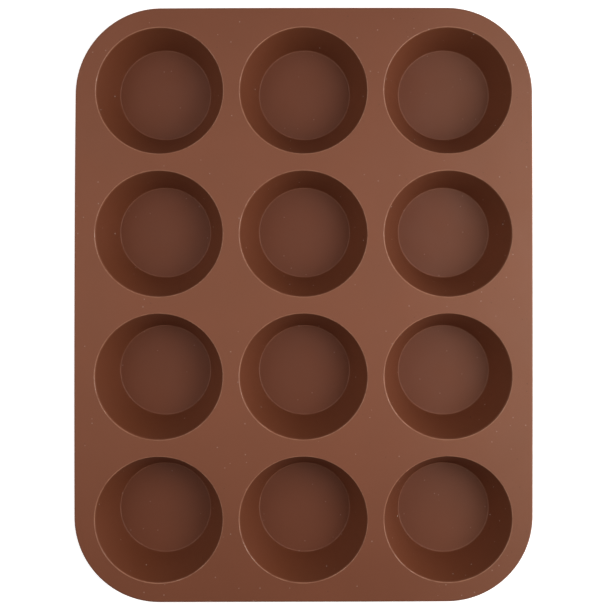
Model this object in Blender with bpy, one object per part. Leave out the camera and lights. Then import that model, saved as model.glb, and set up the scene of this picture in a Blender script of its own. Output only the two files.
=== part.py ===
"""A muffin pan with tapered round cups, moulded in one piece from silicone rubber.

The pan stands on its cups with the origin under its middle, +Z up and its long side along Y.
The moulding is built as its regions: the sheet with the mouths, the bead under the sheet's edge,
and the cups. Each region is one closed solid, and a seam parts it from its neighbours.
"""

import math

import bmesh
import bpy
from mathutils import Vector

MM = 0.001

# How many cups there are, across and along the pan
COLUMNS = 3
ROWS = 4

# The cups: the mouth is measured where the wall's line meets the top face
MOUTH_RADIUS = 34.7 * MM
CUP_DEPTH = 28.5 * MM
WALL_DRAFT = math.radians(17.1)
WALL_THICKNESS = 1.5 * MM
FLOOR_THICKNESS = 1.5 * MM
FLOOR_FILLET = 1.0 * MM

# The sheet: webs lie between two mouths, borders between a mouth and the outline
SHEET_THICKNESS = 2.2 * MM
WEB_X = 9.5 * MM
WEB_Y = 8.6 * MM
BORDER_X = 11.4 * MM
BORDER_Y = 10.4 * MM
CORNER_BORDER = 11.7 * MM
MOUTH_ROUNDING = 0.5 * MM
EDGE_ROUNDING = 1.0 * MM

# The bead under the sheet's edge
BEAD_WIDTH = 3.6 * MM
BEAD_HEIGHT = 2.5 * MM
BEAD_ROUNDING_SHARE = 0.45

# The cup's wall flares where it joins the sheet, into this share of the web that is free there
ROOT_SHARE = 0.45

# The seam between two regions of the moulding
SEAM = 0.3 * MM

# What follows from the sizes above
HEIGHT = CUP_DEPTH + FLOOR_THICKNESS
PITCH_X = 2 * MOUTH_RADIUS + WEB_X
PITCH_Y = 2 * MOUTH_RADIUS + WEB_Y
WIDTH = (COLUMNS - 1) * PITCH_X + 2 * (MOUTH_RADIUS + BORDER_X)
LENGTH = (ROWS - 1) * PITCH_Y + 2 * (MOUTH_RADIUS + BORDER_Y)
CORNER_RADIUS = MOUTH_RADIUS + CORNER_BORDER
SHEET_UNDERSIDE = HEIGHT - SHEET_THICKNESS
SEAT = SHEET_UNDERSIDE - SEAM
FOOT_FILLET = FLOOR_FILLET + WALL_THICKNESS
WALL_ACROSS = WALL_THICKNESS / math.cos(WALL_DRAFT)
ROOT_FILLET = (min(WEB_X, WEB_Y) / 2 - WALL_ACROSS) * ROOT_SHARE
BEAD_ROUNDING = min(BEAD_WIDTH, BEAD_HEIGHT) * BEAD_ROUNDING_SHARE

# How finely the round forms are cut
CUP_SEGMENTS = 36
CORNER_STEPS = 10
SMALL_STEPS = 2
EDGE_STEPS = 3
WELD = 0.001 * MM
SMOOTH_ANGLE = math.radians(40)

# The colour of the silicone, as the photograph's sheet shows it, in sRGB
BROWN = "7f4f3c"
SATIN = 0.55
SILICONE_IOR = 1.41


def clear_scene():
    for old in list(bpy.data.objects):
        bpy.data.objects.remove(old, do_unlink=True)


def linear(code):
    """An sRGB hex colour as the linear colour that a shader takes."""
    shares = [int(code[i : i + 2], 16) / 255 for i in (0, 2, 4)]
    return [s / 12.92 if s <= 0.04045 else ((s + 0.055) / 1.055) ** 2.4 for s in shares]


def silicone(name):
    """Moulded silicone rubber: satin, coloured all through."""
    material = bpy.data.materials.new(name)
    material.use_nodes = True
    shader = material.node_tree.nodes["Principled BSDF"]
    shader.inputs["Base Color"].default_value = (*linear(BROWN), 1)
    shader.inputs["Roughness"].default_value = SATIN
    shader.inputs["Metallic"].default_value = 0
    shader.inputs["IOR"].default_value = SILICONE_IOR
    return material


def rounded(before, corner, after, radius, steps):
    """The arc that rounds the corner of a profile, from the line to before to the line to after."""
    back = (before - corner).normalized()
    ahead = (after - corner).normalized()
    half = back.angle(ahead) / 2
    middle = corner + (back + ahead).normalized() * radius / math.sin(half)
    start = corner + back * radius / math.tan(half) - middle
    end = corner + ahead * radius / math.tan(half) - middle
    return [middle + start.slerp(end, i / steps) * radius for i in range(steps + 1)]


def bore_radius(z):
    """The radius inside a cup's wall at the height z."""
    return MOUTH_RADIUS - (HEIGHT - z) * math.tan(WALL_DRAFT)


def shell_radius(z):
    """The radius outside a cup's wall at the height z."""
    return bore_radius(z) + WALL_ACROSS


def cup_profile():
    """Half a section of a cup as (radius, height): down the inside, then up the outside."""
    inner_top = Vector((bore_radius(SEAT), SEAT))
    inner_foot = Vector((bore_radius(FLOOR_THICKNESS), FLOOR_THICKNESS))
    inner_middle = Vector((0, FLOOR_THICKNESS))
    outer_middle = Vector((0, 0))
    outer_foot = Vector((shell_radius(0), 0))
    outer_top = Vector((shell_radius(SEAT), SEAT))
    root_end = outer_top + Vector((ROOT_FILLET, 0))
    inside = rounded(inner_top, inner_foot, inner_middle, FLOOR_FILLET, SMALL_STEPS)
    outside = rounded(outer_middle, outer_foot, outer_top, FOOT_FILLET, EDGE_STEPS)
    spread = (outer_foot - outer_top).angle(root_end - outer_top)
    root_radius = ROOT_FILLET * math.tan(spread / 2)
    root = rounded(outer_foot, outer_top, root_end, root_radius, SMALL_STEPS)
    return [inner_top, *inside, inner_middle, outer_middle, *outside, *root]


def revolved_mesh(name, profile):
    """A closed solid turned from a profile whose ends lie on the axis or meet."""
    bm = bmesh.new()
    verts = [bm.verts.new((point.x, 0, point.y)) for point in profile]
    edges = [bm.edges.new(pair) for pair in zip(verts, verts[1:] + verts[:1])]
    on_axis = [e for e in edges if all(v.co.x < WELD for v in e.verts)]
    bmesh.ops.delete(bm, geom=on_axis, context="EDGES")
    bmesh.ops.spin(
        bm,
        geom=bm.verts[:] + bm.edges[:],
        cent=(0, 0, 0),
        axis=(0, 0, 1),
        angle=math.tau,
        steps=CUP_SEGMENTS,
        use_merge=True,
    )
    bmesh.ops.remove_doubles(bm, verts=bm.verts[:], dist=WELD)
    return finished_mesh(bm, name)


def finished_mesh(bm, name):
    """The mesh with its faces pointing out and its round faces shaded smooth."""
    bmesh.ops.recalc_face_normals(bm, faces=bm.faces[:])
    mesh = bpy.data.meshes.new(name)
    bm.to_mesh(mesh)
    bm.free()
    mesh.shade_smooth()
    mesh.set_sharp_from_angle(angle=SMOOTH_ANGLE)
    return mesh


def outline(inset, z):
    """The pan's outline, moved in by inset, as a ring of points at the height z."""
    corner_x = WIDTH / 2 - CORNER_RADIUS
    corner_y = LENGTH / 2 - CORNER_RADIUS
    reach = CORNER_RADIUS - inset
    points = []
    for quarter, (side_x, side_y) in enumerate(((1, 1), (-1, 1), (-1, -1), (1, -1))):
        for step in range(CORNER_STEPS + 1):
            angle = math.tau / 4 * (quarter + step / CORNER_STEPS)
            x = side_x * corner_x + reach * math.cos(angle)
            y = side_y * corner_y + reach * math.sin(angle)
            points.append(Vector((x, y, z)))
    return points


def circle(centre, radius, z):
    """A ring of points round a cup's axis at the height z."""
    angles = [math.tau * i / CUP_SEGMENTS for i in range(CUP_SEGMENTS)]
    return [centre + Vector((radius * math.cos(a), radius * math.sin(a), z)) for a in angles]


def skin(bm, rings):
    """Faces between each ring of points and the next. Returns the edges of the first and last ring."""
    rows = [[bm.verts.new(point) for point in ring] for ring in rings]
    for upper, lower in zip(rows, rows[1:]):
        for i, corner in enumerate(upper):
            bm.faces.new((corner, lower[i], lower[i - 1], upper[i - 1]))
    ends = (rows[0], rows[-1])
    return [[bm.edges.get((row[i], row[i - 1])) for i in range(len(row))] for row in ends]


def cup_places():
    """The row, the column and the axis of each cup, from the back left one."""
    for row in range(ROWS):
        for column in range(COLUMNS):
            x = (column - (COLUMNS - 1) / 2) * PITCH_X
            y = ((ROWS - 1) / 2 - row) * PITCH_Y
            yield row + 1, column + 1, Vector((x, y, 0))


def mouth_profile():
    """The mouth's edge as (radius, height): rounded at the top face, then down the wall's line."""
    top = Vector((MOUTH_RADIUS, HEIGHT))
    bottom = Vector((bore_radius(SHEET_UNDERSIDE), SHEET_UNDERSIDE))
    web = Vector((MOUTH_RADIUS + WEB_X, HEIGHT))
    return [*rounded(web, top, bottom, MOUTH_ROUNDING, SMALL_STEPS), bottom]


def edge_profile():
    """The sheet's outer edge as (inset, height): rounded at the top face, then straight down."""
    top = Vector((0, HEIGHT))
    bottom = Vector((0, SHEET_UNDERSIDE))
    return [*rounded(Vector((BORDER_X, HEIGHT)), top, bottom, EDGE_ROUNDING, EDGE_STEPS), bottom]


def sheet_mesh():
    """The flat sheet: its outer edge and its mouths are skinned, and its two faces filled between."""
    bm = bmesh.new()
    top, bottom = skin(bm, [outline(point.x, point.y) for point in edge_profile()])
    for _, _, axis in cup_places():
        upper, lower = skin(bm, [circle(axis, point.x, point.y) for point in mouth_profile()])
        top += upper
        bottom += lower
    for rim in (top, bottom):
        bmesh.ops.triangle_fill(bm, edges=rim, use_beauty=True, use_dissolve=False)
    return finished_mesh(bm, "top_sheet")


def bead_mesh():
    """The bead: a ring that follows the outline, square under the sheet and rounded below."""
    outer_top = Vector((0, SEAT))
    outer_foot = Vector((0, SEAT - BEAD_HEIGHT))
    inner_foot = Vector((BEAD_WIDTH, SEAT - BEAD_HEIGHT))
    inner_top = Vector((BEAD_WIDTH, SEAT))
    outer = rounded(outer_top, outer_foot, inner_foot, BEAD_ROUNDING, EDGE_STEPS)
    inner = rounded(outer_foot, inner_foot, inner_top, BEAD_ROUNDING, SMALL_STEPS)
    profile = [outer_top, *outer, *inner, inner_top, outer_top]
    bm = bmesh.new()
    skin(bm, [outline(point.x, point.y) for point in profile])
    bmesh.ops.remove_doubles(bm, verts=bm.verts[:], dist=WELD)
    return finished_mesh(bm, "rim_bead")


def add_region(name, mesh, pan, place=(0, 0, 0)):
    """One named region of the moulding, carried by the pan's empty."""
    region = bpy.data.objects.new(name, mesh)
    region.location = place
    region.parent = pan
    bpy.context.scene.collection.objects.link(region)
    return region


def main():
    clear_scene()
    pan = bpy.data.objects.new("muffin_pan", None)
    bpy.context.scene.collection.objects.link(pan)

    sheet = add_region("top_sheet", sheet_mesh(), pan)
    sheet.data.materials.append(silicone("sheet_silicone"))

    bead = add_region("rim_bead", bead_mesh(), pan)
    bead.data.materials.append(silicone("bead_silicone"))

    cup = revolved_mesh("cup", cup_profile())
    cup.materials.append(silicone("cup_silicone"))
    for row, column, axis in cup_places():
        add_region(f"cup_r{row}_c{column}", cup, pan, axis)

    print(f"pan {WIDTH / MM:.1f} x {LENGTH / MM:.1f} x {HEIGHT / MM:.1f} mm")
    print(f"cups {PITCH_X / MM:.1f} x {PITCH_Y / MM:.1f} mm apart")
    floor_radius = bore_radius(FLOOR_THICKNESS)
    print(f"mouth radius {MOUTH_RADIUS / MM:.1f} mm, floor radius {floor_radius / MM:.1f} mm")


main()
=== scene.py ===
# %% [markdown]
# # A muffin pan of silicone rubber
#
# The real pan is one moulding: a flat sheet with round corners, twelve tapered cups that stand on their
# floors, and a bead under the sheet's edge that stiffens it. Two steel mould halves close on raw rubber
# and heat sets it, so each wall leans, each corner is round and the surface is an even satin.
#
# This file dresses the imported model. The sheet follows a rule in mesh code, the bead is swept along the
# outline and the cups are turned and repeated, both with Geometry Nodes. Then one soft flex goes through
# all three pieces, and one silicone covers them.

import math

import bmesh
import bpy
import numpy as np
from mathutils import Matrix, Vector, noise


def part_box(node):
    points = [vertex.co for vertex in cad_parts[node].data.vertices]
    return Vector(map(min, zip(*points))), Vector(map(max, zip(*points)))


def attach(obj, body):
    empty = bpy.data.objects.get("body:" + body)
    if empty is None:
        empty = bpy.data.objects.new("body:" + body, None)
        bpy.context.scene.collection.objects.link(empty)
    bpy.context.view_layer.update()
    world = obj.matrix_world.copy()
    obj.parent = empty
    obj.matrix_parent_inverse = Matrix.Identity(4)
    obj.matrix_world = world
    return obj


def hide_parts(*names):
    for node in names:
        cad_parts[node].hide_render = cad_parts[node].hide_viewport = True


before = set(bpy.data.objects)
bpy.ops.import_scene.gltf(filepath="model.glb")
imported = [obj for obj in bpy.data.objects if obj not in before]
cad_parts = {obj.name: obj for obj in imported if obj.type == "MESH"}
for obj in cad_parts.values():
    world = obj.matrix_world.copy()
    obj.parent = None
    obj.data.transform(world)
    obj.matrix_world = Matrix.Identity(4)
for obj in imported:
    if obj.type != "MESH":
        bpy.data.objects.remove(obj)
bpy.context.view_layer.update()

# %% [markdown]
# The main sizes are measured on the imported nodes, so that the looks can't drift away from the model.
# A node's box tells the width, the length and the heights. The middles of the cups' boxes tell how far
# apart the cups stand.

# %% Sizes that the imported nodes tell
MM = 0.001
sheet_low, sheet_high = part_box("top_sheet")
HALF_WIDTH, HALF_LENGTH, RIM = sheet_high
UNDERSIDE = sheet_low.z
BEAD_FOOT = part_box("rim_bead")[0].z

cup_nodes = sorted(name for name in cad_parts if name.startswith("cup_"))
axes = [sum(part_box(name), Vector()) / 2 for name in cup_nodes]
columns_at = sorted({round(axis.x / MM, 2) for axis in axes})
rows_at = sorted({round(axis.y / MM, 2) for axis in axes})
COLUMNS, ROWS = len(columns_at), len(rows_at)
PITCH_X = (columns_at[-1] - columns_at[0]) / (COLUMNS - 1) * MM
PITCH_Y = (rows_at[-1] - rows_at[0]) / (ROWS - 1) * MM
print(f"{COLUMNS} x {ROWS} cups, {PITCH_X / MM:.1f} x {PITCH_Y / MM:.1f} mm apart")

# %% [markdown]
# A box can't tell the shape of a section. These are the sizes that the moulding's section is drawn with:
# the walls lean by nearly 18 degrees, so that a muffin slips out, they are a millimetre and a half thick,
# and each corner has its own small radius.

# %% Sizes of the section
MOUTH_RADIUS = 34.7 * MM
WALL_DRAFT = math.radians(17.6)
WALL = 1.5 * MM
FLOOR = 1.5 * MM
WALL_ACROSS = WALL / math.cos(WALL_DRAFT)
CORNER_RADIUS = 46.4 * MM
LIP_ROUNDING = 0.5 * MM
EDGE_ROUNDING = 1.0 * MM
FLOOR_FILLET = 0.6 * MM
FOOT_FILLET = 2.5 * MM
SUPPORT = 0.15 * MM    # a loop this close to a rounding keeps the flat face beside it looking flat


def bore_radius(z):
    """The radius inside a cup's wall at the height z."""
    return MOUTH_RADIUS - (RIM - z) * math.tan(WALL_DRAFT)


print(f"floor radius {bore_radius(FLOOR) / MM:.1f} mm")

# %% [markdown]
# Both kinds of node tree, for shapes and for materials, are built the same way: a node is added, its
# settings are set, and each input gets either a value or another node's output. One helper does that.

# %% Adding nodes
def add(tree, kind, links=(), **settings):
    """A node of a tree with its settings. links gives inputs a value or another node's output."""
    node = tree.nodes.new(kind)
    for name, value in settings.items():
        setattr(node, name, value)
    for socket, value in dict(links).items():
        if isinstance(value, bpy.types.NodeSocket):
            tree.links.new(value, node.inputs[socket])
        else:
            node.inputs[socket].default_value = value
    return node


def linear(code):
    """An sRGB hex colour as the linear colour that a shader takes."""
    shares = [int(code[i : i + 2], 16) / 255 for i in (0, 2, 4)]
    light = [s / 12.92 if s <= 0.04045 else ((s + 0.055) / 1.055) ** 2.4 for s in shares]
    return (*light, 1)


print(f"a middle grey, 808080, gives off {linear('808080')[0]:.2f} of the light of white")

# %% [markdown]
# ## Moulded silicone rubber
#
# Silicone is coloured all through by pigment, so it has no coat and no metal. Its index of refraction is
# 1.41, and the film of bloom on it lifts the gloss a little. The pigment is mixed a little unevenly, which
# the eye takes in as broad soft clouds of two near browns. This is the rubber's own brown, as the cups
# show it; the top face gets a painted sheen over it.

# %% The rubber's own brown
RUBBER_IOR = 1.41
FILM_SPECULAR = 0.6     # the film of bloom lifts it above the usual 0.5
CLOUD = 34 * MM         # how wide a cloud of uneven pigment is
COLOUR_A, COLOUR_B, COLOUR = 6, 7, 2    # the colour sockets of a Mix node

silicone = bpy.data.materials.new("moulded_silicone")
silicone.use_nodes = True
tree = silicone.node_tree
shader = tree.nodes["Principled BSDF"]
shader.inputs["IOR"].default_value = RUBBER_IOR
shader.inputs["Specular IOR Level"].default_value = FILM_SPECULAR
shader.inputs["Metallic"].default_value = 0

place = add(tree, "ShaderNodeTexCoord").outputs["Object"]
spot = add(tree, "ShaderNodeSeparateXYZ", {"Vector": place})
cloud = add(tree, "ShaderNodeTexNoise", {"Vector": place, "Scale": 1 / CLOUD, "Detail": 2})
own_brown = add(
    tree,
    "ShaderNodeMix",
    {"Factor": cloud.outputs["Fac"], COLOUR_A: linear("733d22"), COLOUR_B: linear("7b4126")},
    data_type="RGBA",
)
print(f"clouds {CLOUD / MM:.0f} mm wide")

# %% [markdown]
# The top face gets a painted sheen: a paler brown that stands in for the pale reflection that the open top
# face shows and the shaded cups don't. It starts just below the rim, and it thins again towards both ends,
# which is painted shade there. So the top face reads paler than the cups, and darkens a little at its
# ends.

# %% The painted sheen of the top face
TOP_SHEEN_START = 2 * MM    # how far below the rim the painted sheen starts
TOP_SHEEN_FULL = 1 * MM     # and from where up it covers the rubber evenly
TOP_SHEEN_MIDDLE = 20 * MM  # where along the pan it is whole
END_SHEEN_SHARE = 0.25       # the share of the painted sheen that is left at the ends, where it gives painted shade

# 834c31 and 8b5035 are the paler browns of the painted sheen on the top face
painted_sheen_brown = add(
    tree,
    "ShaderNodeMix",
    {"Factor": cloud.outputs["Fac"], COLOUR_A: linear("834c31"), COLOUR_B: linear("8b5035")},
    data_type="RGBA",
)
top_face = add(
    tree,
    "ShaderNodeMapRange",
    {"Value": spot.outputs["Z"], "From Min": RIM - TOP_SHEEN_START, "From Max": RIM - TOP_SHEEN_FULL},
)
# Towards both ends the painted sheen thins: painted shade there
off_middle = add(
    tree,
    "ShaderNodeMath",
    {0: spot.outputs["Y"], 1: 1 / HALF_LENGTH, 2: -TOP_SHEEN_MIDDLE / HALF_LENGTH},
    operation="MULTIPLY_ADD",
)
ends = add(tree, "ShaderNodeMath", {0: off_middle.outputs[0], 1: 2}, operation="POWER")
end_shade = add(
    tree, "ShaderNodeMapRange", {"Value": ends.outputs[0], "To Min": 1, "To Max": END_SHEEN_SHARE}
)
sheen = add(
    tree,
    "ShaderNodeMath",
    {0: top_face.outputs["Result"], 1: end_shade.outputs["Result"]},
    operation="MULTIPLY",
)
brown = add(
    tree,
    "ShaderNodeMix",
    {
        "Factor": sheen.outputs[0],
        COLOUR_A: own_brown.outputs[COLOUR],
        COLOUR_B: painted_sheen_brown.outputs[COLOUR],
    },
    data_type="RGBA",
)
print(f"bloom from {(RIM - TOP_SHEEN_START) / MM:.0f} mm up, {END_SHEEN_SHARE:.0%} of it at the ends")

# %% [markdown]
# The thin line of light at each lip and round each floor is a painted highlight: there the rubber is
# painted paler, and it is also made glossier. Those places carry a mark, an attribute named line, which
# the material reads for both colour and gloss. The marks are set further on, once the pieces are made. A
# noise makes the painted highlight come and go.

# %% Painted highlight lines
LINE_NOISE_SPAN = 7 * MM           # how long a stretch is over which the painted highlight line comes and goes
LINE_NOISE_LOW, LINE_NOISE_HIGH = 0.35, 0.65    # the noise at which the line is weakest, and whole
WEAKEST = 0.4           # the share of the line that is left where it is weakest

mark = add(tree, "ShaderNodeAttribute", attribute_name="line")
line_noise = add(tree, "ShaderNodeTexNoise", {"Vector": place, "Scale": 1 / LINE_NOISE_SPAN, "Detail": 3})
uneven = add(
    tree,
    "ShaderNodeMapRange",
    {"Value": line_noise.outputs["Fac"], "From Min": LINE_NOISE_LOW, "From Max": LINE_NOISE_HIGH, "To Min": WEAKEST},
)
line = add(
    tree,
    "ShaderNodeMath",
    {0: mark.outputs["Fac"], 1: uneven.outputs["Result"]},
    operation="MULTIPLY",
)
# ab775d is the paler brown of the painted highlight
highlighted = add(
    tree,
    "ShaderNodeMix",
    {"Factor": line.outputs[0], COLOUR_A: brown.outputs[COLOUR], COLOUR_B: linear("ab775d")},
    data_type="RGBA",
)
print(f"a worn line is {WEAKEST:.0%} to 100% strong")

# %% [markdown]
# The gloss is a soft satin, because the mould is blasted to a fine matte, with patches that hands left a
# little shinier. The painted highlight lines are made glossier too, the strong ones at the lips most of
# all, so their strength is squared. A bump gives the blasted grain, which is too shallow to be made of
# faces. Real grit of a tenth of a millimetre is too fine to show, so it is drawn coarser.

# %% Satin and grain
HANDLING = 16 * MM      # how wide a patch is that hands left a little shinier
PATCH_LOW, PATCH_HIGH = 0.3, 0.7    # the noise in the middle of a patch, and outside it
SHINY, MATTE = 0.58, 0.66           # the roughness there
LINE_ROUGHNESS = 0.2              # the roughness of a painted highlight line
GRAIN = 0.9 * MM
GRAIN_DEPTH = 0.012 * MM

patch = add(tree, "ShaderNodeTexNoise", {"Vector": place, "Scale": 1 / HANDLING, "Detail": 3})
gloss = add(
    tree,
    "ShaderNodeMapRange",
    {
        "Value": patch.outputs["Fac"],
        "From Min": PATCH_LOW,
        "From Max": PATCH_HIGH,
        "To Min": SHINY,
        "To Max": MATTE,
    },
)
shine = add(tree, "ShaderNodeMath", {0: line.outputs[0], 1: 2}, operation="POWER")
glossed = add(
    tree, "ShaderNodeMix", {"Factor": shine.outputs[0], "A": gloss.outputs["Result"], "B": LINE_ROUGHNESS}
)
tree.links.new(glossed.outputs["Result"], shader.inputs["Roughness"])

grain = add(tree, "ShaderNodeTexNoise", {"Vector": place, "Scale": 1 / GRAIN, "Detail": 2})
bump = add(tree, "ShaderNodeBump", {"Height": grain.outputs["Fac"], "Distance": GRAIN_DEPTH})
tree.links.new(bump.outputs["Normal"], shader.inputs["Normal"])
print(f"roughness {SHINY} to {MATTE}, grain {GRAIN_DEPTH / MM:.3f} mm deep")

# %% [markdown]
# A painted sheen greys the brown a little on the right side of the pan, standing in for the pale
# reflection that the flat faces show there. It lies on the flat faces, the top and the floors of the cups,
# and not on the walls.

# %% A painted sheen on the right side
SHEEN_AND_LINT_START = 50 * MM    # how far right of the middle the painted sheen starts, and the lint grows denser
SHEEN_SHARE = 0.05        # how much of the rubber the painted sheen covers at the right edge
SHEEN_CREEP = 1 * MM     # how far up a wall it creeps from the floor

right_sheen = add(
    tree,
    "ShaderNodeMapRange",
    {
        "Value": spot.outputs["X"],
        "From Min": SHEEN_AND_LINT_START,
        "From Max": HALF_WIDTH,
        "To Max": SHEEN_SHARE,
    },
)
floors = add(
    tree,
    "ShaderNodeMapRange",
    {"Value": spot.outputs["Z"], "From Min": FLOOR + SHEEN_CREEP, "From Max": FLOOR},
)
level = add(
    tree,
    "ShaderNodeMath",
    {0: top_face.outputs["Result"], 1: floors.outputs["Result"]},
    operation="MAXIMUM",
)
sheen_on_flats = add(
    tree, "ShaderNodeMath", {0: right_sheen.outputs["Result"], 1: level.outputs[0]}, operation="MULTIPLY"
)
# b9a78a is the grey of the painted sheen
sheened = add(
    tree,
    "ShaderNodeMix",
    {"Factor": sheen_on_flats.outputs[0], COLOUR_A: highlighted.outputs[COLOUR], COLOUR_B: linear("b9a78a")},
    data_type="RGBA",
)
print(f"dust covers {SHEEN_SHARE:.0%} at the right edge")

# %% [markdown]
# Silicone is slightly tacky, so it holds specks of lint: most pale, some dark crumbs, each under half a
# millimetre wide and few of them thick. A Voronoi pattern gives each its own cell. The cell's random
# colour decides whether it holds a speck, which kind, and how thick. There are more of them towards the
# right edge, where the painted sheen lies.

# %% Specks of lint
LINT_SPREAD = 4 * MM    # how wide a cell is that may hold a speck of lint
LINT_SIZE = 0.09        # the radius of a speck as a share of that
LINT_CHANCE = 0.35      # the share of the cells that hold one, left of the dust
EDGE_LINT_CHANCE = 0.9      # and at the right edge
LINT_RARITY = 2         # the higher, the fewer of them are thick
DARK_CHANCE = 0.4       # the share of the specks that are dark crumbs

speck = add(tree, "ShaderNodeTexVoronoi", {"Vector": place, "Scale": 1 / LINT_SPREAD})
small = add(
    tree, "ShaderNodeMath", {0: speck.outputs["Distance"], 1: LINT_SIZE}, operation="LESS_THAN"
)
chance = add(tree, "ShaderNodeSeparateColor", {"Color": speck.outputs["Color"]})
lint_odds = add(
    tree,
    "ShaderNodeMapRange",
    {
        "Value": spot.outputs["X"],
        "From Min": SHEEN_AND_LINT_START,
        "From Max": HALF_WIDTH,
        "To Min": LINT_CHANCE,
        "To Max": EDGE_LINT_CHANCE,
    },
)
chosen = add(
    tree,
    "ShaderNodeMath",
    {0: chance.outputs["Red"], 1: lint_odds.outputs["Result"]},
    operation="LESS_THAN",
)
lint = add(
    tree, "ShaderNodeMath", {0: small.outputs[0], 1: chosen.outputs[0]}, operation="MULTIPLY"
)
cover = add(
    tree, "ShaderNodeMath", {0: chance.outputs["Blue"], 1: LINT_RARITY}, operation="POWER"
)
thick = add(
    tree, "ShaderNodeMath", {0: lint.outputs[0], 1: cover.outputs[0]}, operation="MULTIPLY"
)
dark = add(
    tree, "ShaderNodeMath", {0: chance.outputs["Green"], 1: DARK_CHANCE}, operation="LESS_THAN"
)
lint_tone = add(
    tree,
    "ShaderNodeMix",
    {"Factor": dark.outputs[0], COLOUR_A: linear("e2cfc2"), COLOUR_B: linear("24120a")},
    data_type="RGBA",
)
dusted = add(
    tree,
    "ShaderNodeMix",
    {
        "Factor": thick.outputs[0],
        COLOUR_A: sheened.outputs[COLOUR],
        COLOUR_B: lint_tone.outputs[COLOUR],
    },
    data_type="RGBA",
)
tree.links.new(dusted.outputs[COLOUR], shader.inputs["Base Color"])
print("silicone:", len(tree.nodes), "nodes")

# %% [markdown]
# Every section here is a line with some of its corners rounded. One helper rounds a corner: it walks
# from the tangent point on the way in, along the arc, to the tangent point on the way out. Another
# divides a straight stretch, so that it can bend later.

# %% Lines of a section
def rounded(before, corner, after, radius, steps):
    """The arc that rounds a corner, from the line to before to the line to after."""
    back = (before - corner).normalized()
    ahead = (after - corner).normalized()
    half = back.angle(ahead) / 2
    middle = corner + (back + ahead).normalized() * radius / math.sin(half)
    start = corner + back * radius / math.tan(half) - middle
    end = corner + ahead * radius / math.tan(half) - middle
    return [middle + start.slerp(end, i / steps) * radius for i in range(steps + 1)]


def stretch(start, end, steps):
    """The points that divide the line from start to end, without its ends."""
    return [start.lerp(end, i / steps) for i in range(1, steps)]


arc = rounded(Vector((1, 0)), Vector((0, 0)), Vector((0, 1)), 1, 2)
print("a square corner rounded:", [(round(p.x, 2), round(p.y, 2)) for p in arc])

# %% [markdown]
# ## The sheet
#
# The sheet is laid out in cells, one for each cup, like tiles. The sides of a tile are cut so that every
# cut lies on a ray from the cup's axis, and two neighbours have their cuts in common. The points of a
# mouth lie on the same rays, so straight lines from a tile's side to its mouth never cross.

# %% Tiles round the cups
SIDE_CUTS = 24
AROUND = 4 * SIDE_CUTS


def tile_cuts(axis):
    """The points that cut the sides of a cup's tile."""
    for cut in range(AROUND):
        side, step = divmod(cut, SIDE_CUTS)
        lean = math.tan(math.tau / 4 * (step / SIDE_CUTS - 0.5))
        u, v = ((1, lean), (-lean, 1), (-1, -lean), (lean, -1))[side]
        yield axis.x + u * PITCH_X / 2, axis.y + v * PITCH_Y / 2


def mouth_row(axis, radius, z):
    """The points of a circle round a cup's axis that face the cuts of its tile."""
    turns = [math.tau * cut / AROUND - math.tau / 8 for cut in range(AROUND)]
    return np.array(
        [(axis.x + radius * math.cos(turn), axis.y + radius * math.sin(turn), z) for turn in turns]
    )


print(f"{len(axes)} tiles with {AROUND} points round each")

# %% [markdown]
# The real outline is a rectangle with very round corners. A tile at the border has to reach out to it, so
# each cut on the border moves to the nearest point of that rounded rectangle. The nearest point is found
# from the core, the small rectangle that the corners' centres span.

# %% The rounded outline
TILES = Vector((COLUMNS * PITCH_X / 2, ROWS * PITCH_Y / 2))
CORE = Vector((HALF_WIDTH - CORNER_RADIUS, HALF_LENGTH - CORNER_RADIUS))


def on_border(x, y):
    """Whether a cut lies on the border of all the tiles."""
    return abs(x) > TILES.x - MM or abs(y) > TILES.y - MM


def on_outline(x, y, inset):
    """The point of the outline, moved in by inset, that is nearest to a cut on the border."""
    centre = Vector((min(max(x, -CORE.x), CORE.x), min(max(y, -CORE.y), CORE.y)))
    out = (Vector((x, y)) - centre).normalized()
    return centre + out * (CORNER_RADIUS - inset)


def cell_row(axis, inset, z):
    """The points round a cell at the height z, inset from the outline where it is at the border."""
    flat = [on_outline(x, y, inset) if on_border(x, y) else (x, y) for x, y in tile_cuts(axis)]
    return np.array([(x, y, z) for x, y in flat])


cuts = [cut for axis in axes for cut in tile_cuts(axis) if on_border(*cut)]
by_turn = {round(math.atan2(y, x) % math.tau, 5): (x, y) for x, y in cuts}
border_cuts = [by_turn[turn] for turn in sorted(by_turn)]


def outline_row(inset, z):
    """The points all round the outline, moved in by inset, at the height z."""
    return np.array([(*on_outline(x, y, inset), z) for x, y in border_cuts])


print(f"{len(border_cuts)} points round the outline")

# %% [markdown]
# Rows of points become a skin when quads join each row to the next. A piece is closed once its skins meet
# everywhere, so the helper welds their common points, turns all faces outwards, and counts the edges that
# are still open. A moulding has soft corners, so only angles over 40 degrees are left sharp.

# %% From rows of points to a closed piece
WELD = 0.002 * MM
SMOOTH_ANGLE = math.radians(40)


def add_strip(bm, rows):
    """Quads between each closed row of points and the next."""
    verts = [[bm.verts.new(point) for point in row] for row in rows]
    for upper, lower in zip(verts, verts[1:]):
        for i, corner in enumerate(upper):
            bm.faces.new((corner, lower[i], lower[i - 1], upper[i - 1]))


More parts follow.
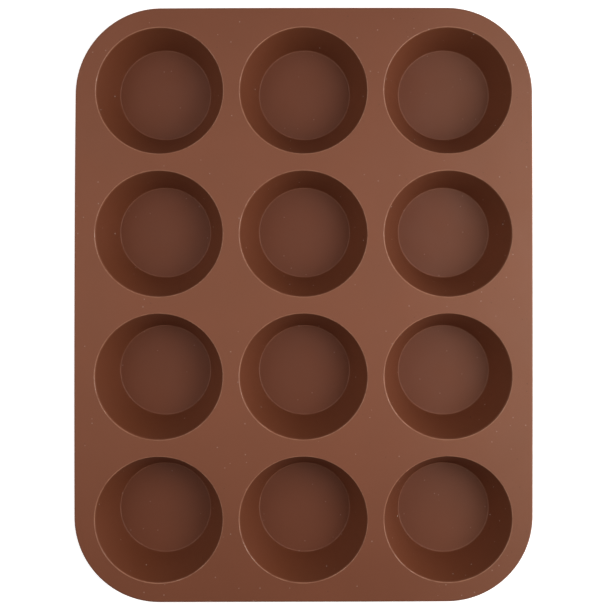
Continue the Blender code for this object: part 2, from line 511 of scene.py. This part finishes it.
def closed_piece(bm, name):
    """An object of the mesh, welded shut, with its faces pointing out and its roundings smooth."""
    bmesh.ops.remove_doubles(bm, verts=bm.verts[:], dist=WELD)
    bmesh.ops.recalc_face_normals(bm, faces=bm.faces[:])
    gaps = sum(not edge.is_manifold for edge in bm.edges)
    volume = bm.calc_volume(signed=True) / MM**3 / 1000
    print(f"{name}: {len(bm.faces)} faces, {gaps} open edges, {volume:.1f} cm3")
    mesh = bpy.data.meshes.new(name)
    bm.to_mesh(mesh)
    bm.free()
    mesh.shade_smooth()
    mesh.set_sharp_from_angle(angle=SMOOTH_ANGLE)
    piece = bpy.data.objects.new(name, mesh)
    bpy.context.scene.collection.objects.link(piece)
    return piece


# %% [markdown]
# The real sheet is flat rubber a little over two millimetres thick. A filled face with holes would give
# its shape, but the long thin triangles in it can't bend and shade badly. Rows of quads can. Each cell
# is one strip of rows: in over the top face, round the lip, down the wall, and out again along the
# underside. One more strip rounds the outer edge and closes the sheet.

# %% The sheet's mesh
COLLAR_SHARES = (0, 0.25, 0.5, 0.75)    # where rows lie between the rim of a cell and its mouth
LIP_STEPS = 5
EDGE_STEPS = 6

lip_top = Vector((MOUTH_RADIUS, RIM))
lip_foot = Vector((bore_radius(UNDERSIDE), UNDERSIDE))
lip = rounded(Vector((PITCH_X, RIM)), lip_top, lip_foot, LIP_ROUNDING, LIP_STEPS)
lip = [lip[0] + Vector((SUPPORT, 0)), *lip, *stretch(lip[-1], lip_foot, 2), lip_foot]

edge_top, edge_foot = Vector((0, RIM)), Vector((0, UNDERSIDE))
edge = rounded(lip_top, edge_top, edge_foot, EDGE_ROUNDING, EDGE_STEPS)
edge = [edge[0] + Vector((SUPPORT, 0)), *edge, edge_foot]

bm = bmesh.new()
for axis in axes:
    rim = cell_row(axis, edge[0].x, RIM)
    mouth = mouth_row(axis, lip[0].x, RIM)
    rows = [rim + (mouth - rim) * share for share in COLLAR_SHARES]
    rows += [mouth_row(axis, point.x, point.y) for point in lip]
    add_strip(bm, [*rows, cell_row(axis, 0, UNDERSIDE)])
add_strip(bm, [outline_row(point.x, point.y) for point in edge])
sheet = closed_piece(bm, "sheet")
sheet.data.materials.append(silicone)

# %% [markdown]
# The painted highlight line runs round each lip, along the middle of its rounding. The points near it get
# the mark that the silicone reads. It fades to nothing within a third of a millimetre, as the real line of
# light is hardly wider than a hair.

# %% The painted line of light at the lips
LIP_LINE = 0.35 * MM    # how far from its middle the line at a lip fades out


def mark_line(piece, centre, width, strength):
    """Marks the points of a piece near a ring round each cup. centre is its radius and height."""
    line = piece.data.attributes.new("line", "FLOAT", "POINT")
    for vertex, mark in zip(piece.data.vertices, line.data):
        x, y, z = vertex.co
        away = min(math.hypot(x - axis.x, y - axis.y) for axis in axes)
        near = 1 - math.hypot(away - centre.x, z - centre.y) / width
        mark.value = min(max(2 * near, 0), 1) * strength
    print(f"{piece.name}: {sum(mark.value > 0 for mark in line.data)} points marked")


lip_middle = (lip[3] + lip[4]) / 2    # halfway along the six points of its rounding
mark_line(sheet, lip_middle, LIP_LINE, 1)

# %% [markdown]
# ## Sweeping a section
#
# The bead and the cups are both swept forms: a section drawn once and carried along a path. In Geometry
# Nodes that is one node, Curve to Mesh. The section and the path are drawn as curve objects first. The
# sweep lays a section's x outwards from the path and its y down, so a section is drawn with its heights
# turned round.

# %% Curves to sweep
def drawn_curve(name, points, closed):
    """A curve object through the points."""
    curve = bpy.data.curves.new(name, "CURVE")
    curve.dimensions = "3D"
    spline = curve.splines.new("POLY")
    spline.points.add(len(points) - 1)
    for slot, point in zip(spline.points, points):
        slot.co = (*point, 1)
    spline.use_cyclic_u = closed
    drawn = bpy.data.objects.new(name, curve)
    bpy.context.scene.collection.objects.link(drawn)
    print(f"{name}: a curve through {len(points)} points")
    return drawn


# %% [markdown]
# A tree is built in the script and reads its curves and sizes through named inputs, so that it could make
# a pan of another size. It runs as a modifier on an empty host. Its result is taken over as a plain mesh,
# and then the host and the curves go.

# %% Trees that grow a mesh
def new_tree(name, inputs):
    """A tree that gives a geometry, with its named inputs, and the outputs of its input node."""
    tree = bpy.data.node_groups.new(name, "GeometryNodeTree")
    tree.interface.new_socket("Geometry", in_out="OUTPUT", socket_type="NodeSocketGeometry")
    for label, kind in inputs.items():
        tree.interface.new_socket(label, in_out="INPUT", socket_type=f"NodeSocket{kind}")
    return tree, add(tree, "NodeGroupInput").outputs


def grown_mesh(tree, values):
    """The plain mesh that the tree makes with the values for its inputs."""
    host = bpy.data.objects.new(tree.name, bpy.data.meshes.new(tree.name))
    bpy.context.scene.collection.objects.link(host)
    modifier = host.modifiers.new(tree.name, "NODES")
    modifier.node_group = tree
    for socket in tree.interface.items_tree:
        if socket.name in values:
            modifier[socket.identifier] = values[socket.name]
    graph = bpy.context.evaluated_depsgraph_get()
    mesh = bpy.data.meshes.new_from_object(host.evaluated_get(graph))
    bpy.data.objects.remove(host)
    return mesh


def closed_grown_piece(tree, name, values):
    """A closed piece of what the tree makes. The curves that it was swept from go."""
    bm = bmesh.new()
    bm.from_mesh(grown_mesh(tree, values))
    piece = closed_piece(bm, name)
    piece.data.materials.append(silicone)
    for drawn in [o for o in bpy.data.objects if o.type == "CURVE"]:
        bpy.data.objects.remove(drawn)
    return piece


# %% [markdown]
# ## The bead
#
# A sheet of silicone this size would flop like a cloth, so the mould gives its edge a bead on the
# underside. The bead is as deep again as the sheet is thick, rounded where fingers hold it, and blends
# into the sheet with a small fillet. It is a section swept along the outline.

# %% The bead's mesh
BEAD_WIDTH = 3.6 * MM
BEAD_ROUNDING = 1.1 * MM
BEAD_ROOT = 0.6 * MM

outer_top, outer_foot = Vector((0, UNDERSIDE)), Vector((0, BEAD_FOOT))
inner_top, inner_foot = Vector((-BEAD_WIDTH, UNDERSIDE)), Vector((-BEAD_WIDTH, BEAD_FOOT))
root_end = inner_top - Vector((BEAD_ROOT, 0))
section = [
    outer_top,
    *rounded(outer_top, outer_foot, inner_foot, BEAD_ROUNDING, EDGE_STEPS),
    *rounded(outer_foot, inner_foot, inner_top, BEAD_ROUNDING, EDGE_STEPS),
    *rounded(inner_foot, inner_top, root_end, BEAD_ROOT, LIP_STEPS),
]

tree, given = new_tree("swept bead", {"Path": "Object", "Section": "Object", "Material": "Material"})
path = add(tree, "GeometryNodeObjectInfo", {"Object": given["Path"]})
profile = add(tree, "GeometryNodeObjectInfo", {"Object": given["Section"]})
swept = add(
    tree,
    "GeometryNodeCurveToMesh",
    {"Curve": path.outputs["Geometry"], "Profile Curve": profile.outputs["Geometry"]},
)
whole = add(tree, "GeometryNodeRealizeInstances", {"Geometry": swept.outputs["Mesh"]})
painted = add(
    tree,
    "GeometryNodeSetMaterial",
    {"Geometry": whole.outputs["Geometry"], "Material": given["Material"]},
)
add(tree, "NodeGroupOutput", {"Geometry": painted.outputs["Geometry"]})

bead = closed_grown_piece(
    tree,
    "edge_bead",
    {
        "Path": drawn_curve("outline", outline_row(0, 0), closed=True),
        "Section": drawn_curve("bead section", [(p.x, -p.y, 0) for p in section], closed=True),
        "Material": silicone,
    },
)

# %% [markdown]
# ## The cups
#
# A cup is a turned form with an even wall: a flat floor, a fillet that lets a muffin slip out, a leaning
# wall, and on the outside a round foot and a flare where the wall runs into the sheet. Half its section
# is drawn from the middle of the floor, up inside to the sheet, and down outside to the middle again.

# %% Half a section of a cup
WALL_CUTS = 9
FLOOR_CUTS = 6
FILLET_STEPS = 5
ROOT_FLARE = 1.2 * MM

inner_middle, outer_middle = Vector((0, FLOOR)), Vector((0, 0))
inner_foot = Vector((bore_radius(FLOOR), FLOOR))
outer_foot = Vector((bore_radius(0) + WALL_ACROSS, 0))
outer_top = lip_foot + Vector((WALL_ACROSS, 0))
root_end = outer_top + Vector((ROOT_FLARE, 0))
root_half = (root_end - outer_top).angle(outer_foot - outer_top) / 2

fillet = rounded(inner_middle, inner_foot, lip_foot, FLOOR_FILLET, FILLET_STEPS)
foot = rounded(outer_top, outer_foot, outer_middle, FOOT_FILLET, EDGE_STEPS)
root = rounded(root_end, outer_top, outer_foot, ROOT_FLARE * math.tan(root_half), LIP_STEPS)
floor_rim = fillet[0] - Vector((SUPPORT, 0))
half_section = [
    inner_middle,
    *stretch(inner_middle, floor_rim, FLOOR_CUTS),
    floor_rim,
    *fillet,
    *stretch(fillet[-1], lip_foot, WALL_CUTS),
    lip_foot,
    *root,
    *stretch(root[-1], foot[0], WALL_CUTS),
    *foot,
    *stretch(foot[-1], outer_middle, FLOOR_CUTS),
    outer_middle,
]
print(f"{len(half_section)} points, foot {foot[-1].x / MM:.1f} mm from the axis")

# %% [markdown]
# A turner makes one cup by turning its section, and a mould repeats it twelve times. The tree does the
# same: it sweeps the section round a circle, welds the two poles, and sets the same cup on each point of a
# grid. The numbers of cups and their pitch are inputs, so the pan could be made in another size. The
# painted highlight line runs round each floor too, along its fillet, but weaker than at the lips.

# %% Turned once, set down twelve times
FLOOR_LINE = 0.3 * MM     # how far from its middle the line round a floor fades out
FLOOR_LINE_SHARE = 0.3    # how strong it is beside the line at a lip

tree, given = new_tree(
    "turned cups",
    {
        "Section": "Object",
        "Path radius": "Float",
        "Points around": "Int",
        "Columns": "Int",
        "Rows": "Int",
        "Length across": "Float",
        "Length along": "Float",
        "Weld": "Float",
        "Material": "Material",
    },
)
profile = add(tree, "GeometryNodeObjectInfo", {"Object": given["Section"]})
ring = add(
    tree,
    "GeometryNodeCurvePrimitiveCircle",
    {"Resolution": given["Points around"], "Radius": given["Path radius"]},
)
turned = add(
    tree,
    "GeometryNodeCurveToMesh",
    {"Curve": ring.outputs["Curve"], "Profile Curve": profile.outputs["Geometry"]},
)
welded = add(
    tree,
    "GeometryNodeMergeByDistance",
    {"Geometry": turned.outputs["Mesh"], "Distance": given["Weld"]},
)
grid = add(
    tree,
    "GeometryNodeMeshGrid",
    {
        "Size X": given["Length across"],
        "Size Y": given["Length along"],
        "Vertices X": given["Columns"],
        "Vertices Y": given["Rows"],
    },
)
placed = add(
    tree,
    "GeometryNodeInstanceOnPoints",
    {"Points": grid.outputs["Mesh"], "Instance": welded.outputs["Geometry"]},
)
whole = add(tree, "GeometryNodeRealizeInstances", {"Geometry": placed.outputs["Instances"]})
painted = add(
    tree,
    "GeometryNodeSetMaterial",
    {"Geometry": whole.outputs["Geometry"], "Material": given["Material"]},
)
add(tree, "NodeGroupOutput", {"Geometry": painted.outputs["Geometry"]})

turned_section = [(p.x - MOUTH_RADIUS, -p.y, 0) for p in half_section]
cups = closed_grown_piece(
    tree,
    "cups",
    {
        "Section": drawn_curve("cup section", turned_section, closed=False),
        "Path radius": MOUTH_RADIUS,
        "Points around": AROUND,
        "Columns": COLUMNS,
        "Rows": ROWS,
        "Length across": (COLUMNS - 1) * PITCH_X,
        "Length along": (ROWS - 1) * PITCH_Y,
        "Weld": WELD,
        "Material": silicone,
    },
)
mark_line(cups, fillet[1], FLOOR_LINE, FLOOR_LINE_SHARE)

# %% [markdown]
# ## The flex
#
# Silicone never lies as straight as its mould. A thin round mouth is the first to give, and here each cup
# is pulled slightly oval, wider across than along. The pull is whole inside the mouth and fades out on
# the web around it, so it doesn't reach the next cup or the outline.

# %% A pull to an oval
OVAL = 0.007              # how much wider a cup is pulled across, and shorter along
OVAL_START = min(PITCH_X, PITCH_Y) / 2      # how far from a cup's axis the pull starts
OVAL_FULL = lip[0].x                        # and from where inwards it is whole


def oval_pull(x, y):
    """How far a point moves where its cup is pulled oval."""
    axis = min(axes, key=lambda axis: math.hypot(x - axis.x, y - axis.y))
    away = math.hypot(x - axis.x, y - axis.y)
    share = min(max((OVAL_START - away) / (OVAL_START - OVAL_FULL), 0), 1) * OVAL
    return (x - axis.x) * share, (axis.y - y) * share


print(f"mouths pulled {MOUTH_RADIUS * OVAL / MM:.2f} mm wider on each side")

# %% [markdown]
# The sheet sags a little between the cups and at its free corners, its long sides draw in towards the far
# end, the corner at the far left is tucked in, and the near end is a touch out of square. The same smooth
# flex moves the points of all three pieces, so they stay joined. It pulls the outline only inwards and
# down, and the floors stay flat.

# %% Flexing all the pieces
SIDE_DRAW = 0.6 * MM      # how far each long side draws in at the far end
WIDEST = -45 * MM         # where along the pan the sides don't draw in
END_SKEW = 0.75 * MM      # how far the right corner of the near end draws in
TUCK = 0.7 * MM           # how far the left corner of the far end is tucked in, along each side
CORNER_SAG = 0.5 * MM
WEB_SAG = 0.25 * MM
WAVE = 85 * MM            # how long a wave of the sag is


def flexed(x, y, z):
    """Where the soft pan has a point that the straight pan has at x, y, z."""
    height = z / RIM
    right = 0.5 + x / HALF_WIDTH / 2
    far = 0.5 + y / HALF_LENGTH / 2
    draw = ((y - WIDEST) / (HALF_LENGTH - WIDEST)) ** 2 * SIDE_DRAW
    skew = (1 - far) ** 2 * right * END_SKEW * (y < 0)
    tuck = ((1 - right) * far) ** 4 * TUCK
    ends = abs(x / HALF_WIDTH * y / HALF_LENGTH) ** 3 * CORNER_SAG
    webs = (0.5 + noise.noise(Vector((x, y, 0)) / WAVE) / 2) * WEB_SAG
    wider, shorter = oval_pull(x, y)
    return (
        x + (tuck - x / HALF_WIDTH * draw) * height + wider,
        y + (skew - tuck) * height + shorter,
        z - (ends + webs) * height,
    )


for piece in (sheet, bead, cups):
    for vertex in piece.data.vertices:
        vertex.co = flexed(*vertex.co)
    piece.data.update()
    points = np.array([vertex.co for vertex in piece.data.vertices]) / MM
    print(piece.name, np.round(points.min(axis=0), 2), np.round(points.max(axis=0), 2))

# %% [markdown]
# Each piece now rides on the one body, stands for its nodes in the imported model, and takes its finish
# from the silicone made above.

# %% Pieces on the frame
for piece, nodes in ((sheet, ["top_sheet"]), (bead, ["rim_bead"]), (cups, cup_nodes)):
    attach(piece, "root")
    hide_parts(*nodes)
    print(f"{piece.name} stands for {len(nodes)} of the packed nodes")

# %% [markdown]
# ## The stage
#
# The pan lies on a plain pale table. A photographer would light such a table from below to keep it white
# where the pan shades it. Here the table's paint gives off some light of its own.

# %% The table
TABLE = 4.0             # metres from its middle to each side
TABLE_GLOW = 0.7

table_mesh = bpy.data.meshes.new("table")
corners = [(x * TABLE, y * TABLE, 0) for x, y in ((-1, -1), (1, -1), (1, 1), (-1, 1))]
table_mesh.from_pydata(corners, [], [(0, 1, 2, 3)])
table = bpy.data.objects.new("table", table_mesh)
bpy.context.scene.collection.objects.link(table)

pale = bpy.data.materials.new("pale_table")
pale.use_nodes = True
paint = pale.node_tree.nodes["Principled BSDF"]
paint.inputs["Base Color"].default_value = linear("f2f1ef")
paint.inputs["Roughness"].default_value = 0.9
paint.inputs["Emission Color"].default_value = linear("ffffff")
paint.inputs["Emission Strength"].default_value = TABLE_GLOW
table_mesh.materials.append(pale)
print(f"table {2 * TABLE:.0f} m square")

# %% [markdown]
# Five softboxes light the pan. Two hang high, on either side of the camera, and light the top face. A low
# one and a near one stand to the right, past the third column: they make the walls that face them lighter
# and draw a thin line of light along the left lip of each mouth. One at the far left lifts the opposite
# walls. The world fills in softly from all round.

# %% Softboxes and world
WORLD_STRENGTH = 0.116


def softbox(name, place, size, power):
    """A square lamp at the place, turned to the pan."""
    lamp = bpy.data.lights.new(name, "AREA")
    lamp.size = size
    lamp.energy = power
    light = bpy.data.objects.new(name, lamp)
    light.location = place
    light.rotation_euler = (-Vector(place)).to_track_quat("-Z", "Y").to_euler()
    bpy.context.scene.collection.objects.link(light)
    print(f"{name}: {power} W, {Vector(place).length:.2f} m away")


softbox("softbox_high_right", (0.8, 0.1, 1.2), size=0.8, power=6.15)
softbox("softbox_high_left", (-0.5, 0, 0.6), size=0.5, power=1.27)
softbox("softbox_low_right", (1.22, 0, 0.445), size=0.8, power=4.38)
softbox("softbox_near_right", (0.321, 0, 0.383), size=0.3, power=0.74)
softbox("softbox_far_left", (-0.65, 0.65, 0.919), size=0.8, power=2.18)

world = bpy.data.worlds.new("studio")
world.use_nodes = True
world.node_tree.nodes["Background"].inputs["Color"].default_value = linear("ffffff")
world.node_tree.nodes["Background"].inputs["Strength"].default_value = WORLD_STRENGTH
bpy.context.scene.world = world
bpy.context.scene.view_settings.view_transform = "Standard"

# %% [markdown]
# ## The camera
#
# The photograph was taken from straight above, with the lens axis over the cup in the second row and the
# second column, and framed by shifting the picture and not by tilting the camera. So the sheet keeps its
# right angles, while the cups' floors, which lie farther away, draw together towards that cup.

# %% Camera
VIEW_HEIGHT = 634 * MM    # above the rim
VIEW_X, VIEW_Y = 13.1 * MM, 52.0 * MM
FOCAL_LENGTH = 68.75      # millimetres, on a sensor that is 36 mm wide
PICTURE_SHIFT = (-0.03695, -0.1562)    # in widths of the picture

view = bpy.data.cameras.new("camera")
view.sensor_width = 36
view.lens = FOCAL_LENGTH
view.shift_x, view.shift_y = PICTURE_SHIFT
camera = bpy.data.objects.new("camera", view)
camera.location = (VIEW_X, VIEW_Y, RIM + VIEW_HEIGHT)
bpy.context.scene.collection.objects.link(camera)
bpy.context.scene.camera = camera
print(f"camera {camera.location.z:.2f} m up, {math.degrees(view.angle):.0f} degrees wide")
